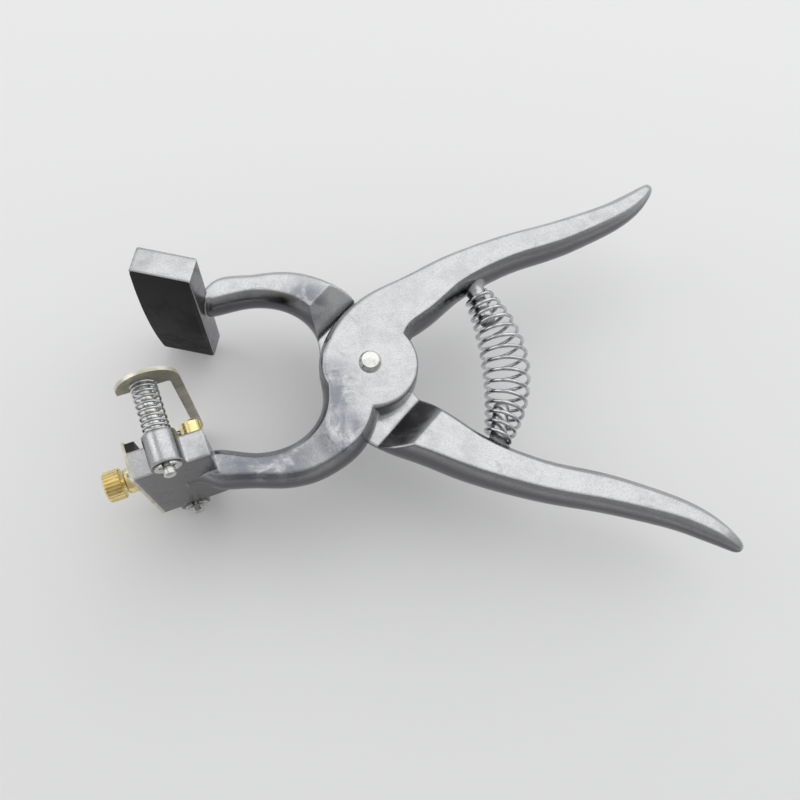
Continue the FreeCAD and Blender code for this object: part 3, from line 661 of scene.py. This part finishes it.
@dataclass
class HandleSpring:
    """The barrel spring between the handles, bowed away from the pivot."""

    middle_x: float = 28.78
    height: float = 36.4
    half_span: float = 30.6
    bow: float = 7.6
    end_radius: float = 4.8
    belly_radius: float = 8.8
    wire_radius: float = 0.74
    turns: float = 15.0
    closing: float = 0.20
    steps_per_turn: int = 40
    sides: int = 14

    def build(self, shop: Workshop) -> bpy.types.Object:
        """Winds the spring and hangs it between the two levers.

        Its axis is the curve x = bow * (1 - s * s), y = half_span * s for s from -1 to
        1, the coil's radius swells by the same 1 - s * s from the ends to the belly,
        and the coil lies square to that axis.

        Args:
            shop: the finishes.

        Returns:
            The spring.
        """
        share = np.linspace(0.0, 1.0, int(self.turns * self.steps_per_turn) + 1)
        s = 2.0 * closed_ends(share, self.closing) - 1.0
        swell = 1.0 - s * s
        radius = self.end_radius + (self.belly_radius - self.end_radius) * swell
        turn = TURN * self.turns * share
        slope = -2.0 * s * self.bow / self.half_span
        flat = unit(np.stack([np.ones_like(s), -slope, np.zeros_like(s)], axis=1))
        outward = flat * np.cos(turn)[:, None] + np.outer(np.sin(turn), UPWARD)
        level = np.full_like(s, self.height)
        axis = np.stack([self.middle_x + self.bow * swell, self.half_span * s, level], axis=1)
        path = (axis + outward * radius[:, None]) * MM
        spring = wire_mesh("handle_spring_wire", path, outward, self.wire_radius * MM, self.sides)
        shop.dress(spring, Slot.SPRING_STEEL)
        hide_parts("handle_spring")
        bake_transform(spring)
        LOG.info("handle spring wound with %s turns", self.turns)
        return spring


@dataclass
class ReleaseSpring:
    """One of the two springs that push the release plate off the dies."""

    end: str
    up: float
    pin_across: float = -0.9
    place: HeadPlace = field(default_factory=HeadPlace)
    foot: float = 6.2
    top: float = 25.0
    coil_radius: float = 4.05
    wire_radius: float = 0.44
    turns: float = 9.5
    closing: float = 0.25
    travel: float = 6.6
    steps_per_turn: int = 36
    sides: int = 12

    def build(self, shop: Workshop) -> bpy.types.Object:
        """Winds the spring round its guide pin.

        A point at angle a stands coil_radius from the pin's axis, and rises from the
        boss to the plate by the eased advance, so the end turns lie nearly closed.

        Args:
            shop: the finishes.

        Returns:
            The spring.
        """
        share = np.linspace(0.0, 1.0, int(self.turns * self.steps_per_turn) + 1)
        turn = TURN * self.turns * share
        across, out = np.array(self.place.across), np.array(self.place.out)
        outward = np.outer(np.cos(turn), across) + np.outer(np.sin(turn), UPWARD)
        low, high = self.foot + self.wire_radius, self.top - self.wire_radius
        rise = (low + (high - low) * closed_ends(share, self.closing)) * MM
        centre = np.array(self.place.point(self.pin_across, 0.0, self.up))
        path = centre + out * rise[:, None] + outward * self.coil_radius * MM
        name = f"release_spring_{self.end}_wire"
        spring = wire_mesh(name, path, outward, self.wire_radius * MM, self.sides)
        shop.dress(spring, Slot.SPRING_STEEL)
        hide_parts(f"release_spring_{self.end}")
        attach(spring, Body.DIE_LEVER.value)
        anchor = self.place.point(self.pin_across, self.foot, self.up)
        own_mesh(spring)
        LOG.info("%s wound with %s turns", name, self.turns)
        return spring


# --------------------------------------------------------------- sub-assemblies


@dataclass
class Levers:
    """The two castings and the pin that joins them."""

    castings: Sequence[str] = ("die_lever", "pad_lever")
    pin: str = "pivot_pin"
    spring: HandleSpring = field(default_factory=HandleSpring)

    def build(self, shop: Workshop) -> None:
        """Dresses the castings and the pin, and winds the spring between them."""
        shop.dress_nodes(Slot.CAST_ALUMINIUM, *self.castings)
        shop.dress_nodes(Slot.BRIGHT_STEEL, self.pin)
        self.spring.build(shop)


@dataclass
class PadFacing:
    """The crowned rubber that the ear is pressed against."""

    node: str = "rubber_pad"

    def build(self, shop: Workshop) -> None:
        """Dresses the facing."""
        shop.dress_nodes(Slot.RUBBER, self.node)


@dataclass
class ReleaseGear:
    """The sprung plate that strips the ear off the dies."""

    plate: str = "release_plate"
    ends: Sequence[tuple[str, float]] = (("near", 28.5), ("far", -28.5))

    def build(self, shop: Workshop) -> None:
        """Dresses the plate, its pins and its clips, and winds both springs."""
        shop.dress_nodes(Slot.KHAKI_PLATE, self.plate)
        for end, up in self.ends:
            shop.dress_nodes(Slot.BRIGHT_STEEL, f"guide_pin_{end}", f"retaining_clip_{end}")
            ReleaseSpring(end, up).build(shop)


@dataclass
class DieClamp:
    """The front plate, the bar that holds the dies, and the thumb screw on it."""

    def build(self, shop: Workshop) -> None:
        """Dresses the clamp's pieces."""
        shop.dress_nodes(Slot.KHAKI_PLATE, "front_plate")
        shop.dress_nodes(Slot.BRIGHT_STEEL, "front_plate_screws")
        shop.dress_nodes(Slot.BLACKENED_STEEL, "clamp_bar")
        shop.dress_nodes(Slot.BRASS, "clamp_bush", "thumb_screw", "stop_stud")


# ----------------------------------------------------------------------- studio


@dataclass
class Studio:
    """A pale table, one wide soft lamp, a weak side lamp and the camera."""

    table_colour: Colour = (0.92, 0.922, 0.928)
    # Painted shade: the paper's colour at the front of the table.
    table_front_shade: Colour = (0.86, 0.862, 0.865)
    table_size: float = 60.0
    table_shade_fade: tuple[float, float] = (-0.30, 0.25)
    key_place: Vector = field(default_factory=lambda: Vector((0.69, 0.75, 1.27)))
    key_size: float = 2.40
    key_power: float = 12.9
    side_place: Vector = field(default_factory=lambda: Vector((-1.10, 0.45, 0.80)))
    side_size: float = 0.9
    side_power: float = 2.4
    sky_colour: Colour = (1.0, 1.0, 1.0)
    sky_top: float = 0.70
    sky_rim: float = 0.64
    sky_front: float = 0.55
    sky_top_from: float = 0.9
    sky_front_fade: tuple[float, float] = (-0.7, 0.2)
    eye: Vector = field(default_factory=lambda: Vector((-0.04204, -0.10646, 0.29791)))
    forward: Vector = field(default_factory=lambda: Vector((0.1260, 0.3350, -0.9340)))
    upward: Vector = field(default_factory=lambda: Vector((0.0618, 0.9368, 0.3444)))
    lens: float = 33.09
    sensor: float = 36.0
    near_clip: float = 0.01

    def table(self) -> None:
        """Lays a pale paper sweep under the tool, with painted shade that greys it a little
        towards the front.
        """
        half = self.table_size / 2.0
        mesh = bpy.data.meshes.new("table_top")
        around = ((-half, -half), (half, -half), (half, half), (-half, half))
        corners = [(x, y, 0.0) for x, y in around]
        mesh.from_pydata(corners, [], [(0, 1, 2, 3)])
        table = bpy.data.objects.new("table_top", mesh)
        bpy.context.scene.collection.objects.link(table)
        g = Graph("table_paper")
        parts = g.tree.nodes.new("ShaderNodeSeparateXYZ")
        g.link(g.place, parts.inputs[0])
        # Painted shade: the paper darkens towards the front.
        back = g.span(parts.outputs["Y"], *self.table_shade_fade)
        skin = g.blend(back, self.table_front_shade, self.table_colour)
        mesh.materials.append(g.finish(Base_Color=skin, Metallic=0.0, Roughness=0.9))

    def lamp(self, name: str, place: Vector, size: float, power: float) -> None:
        """Hangs one square soft lamp that faces the tool.

        Args:
            name: the lamp's name.
            place: where it hangs, in metres.
            size: its side in metres.
            power: its power in watts.
        """
        light = bpy.data.lights.new(name, "AREA")
        light.shape, light.size, light.energy = "SQUARE", size, power
        lamp = bpy.data.objects.new(name, light)
        lamp.location = place
        lamp.rotation_mode = "QUATERNION"
        lamp.rotation_quaternion = (-place).to_track_quat("-Z", "Y")
        bpy.context.scene.collection.objects.link(lamp)

    def sky(self) -> None:
        """Lights the room with a dome, brightest overhead, dimmer at its rim and in front."""
        world = bpy.data.worlds.new("studio_dome")
        bpy.context.scene.world = world
        world.use_nodes = True
        nodes, links = world.node_tree.nodes, world.node_tree.links
        back = nodes["Background"]
        back.inputs["Color"].default_value = (*self.sky_colour, 1.0)
        way = nodes.new("ShaderNodeTexCoord")
        parts = nodes.new("ShaderNodeSeparateXYZ")
        level = nodes.new("ShaderNodeMapRange")
        depth = nodes.new("ShaderNodeMapRange")
        both = nodes.new("ShaderNodeMath")
        links.new(way.outputs["Generated"], parts.inputs[0])
        links.new(parts.outputs["Z"], level.inputs["Value"])
        links.new(parts.outputs["Y"], depth.inputs["Value"])
        depth.interpolation_type = "SMOOTHSTEP"
        ranges = (
            (level, (0.0, self.sky_top_from), (self.sky_rim, self.sky_top)),
            (depth, self.sky_front_fade, (self.sky_front, 1.0)),
        )
        for node, (low, high), (start, end) in ranges:
            node.inputs["From Min"].default_value = low
            node.inputs["From Max"].default_value = high
            node.inputs["To Min"].default_value = start
            node.inputs["To Max"].default_value = end
        both.operation = "MULTIPLY"
        links.new(level.outputs["Result"], both.inputs[0])
        links.new(depth.outputs["Result"], both.inputs[1])
        links.new(both.outputs["Value"], back.inputs["Strength"])

    def camera(self) -> None:
        """Stands the camera over the jaws, looking down and away along the tool."""
        data = bpy.data.cameras.new("camera")
        data.lens, data.sensor_width, data.sensor_fit = self.lens, self.sensor, "HORIZONTAL"
        data.clip_start = self.near_clip
        camera = bpy.data.objects.new("camera", data)
        forward = self.forward.normalized()
        right = forward.cross(self.upward).normalized()
        up = right.cross(forward)
        turn = Matrix((right, up, -forward)).transposed().to_4x4()
        camera.matrix_world = Matrix.Translation(self.eye) @ turn
        bpy.context.scene.collection.objects.link(camera)
        bpy.context.scene.camera = camera

    def build(self) -> None:
        """Sets the stage."""
        self.table()
        self.lamp("key_lamp", self.key_place, self.key_size, self.key_power)
        self.lamp("side_lamp", self.side_place, self.side_size, self.side_power)
        self.sky()
        self.camera()
        bpy.context.scene.view_settings.view_transform = "Standard"
        LOG.info("studio set")


def main() -> None:
    """Builds each sub-assembly in order, and then the studio."""
    logging.basicConfig(level=logging.INFO, format="%(message)s")
    shop = Workshop()
    for part in (Levers(), PadFacing(), ReleaseGear(), DieClamp()):
        part.build(shop)
        LOG.info("%s done", type(part).__name__)
    Studio().build()


if __name__ == "__main__":
    main()
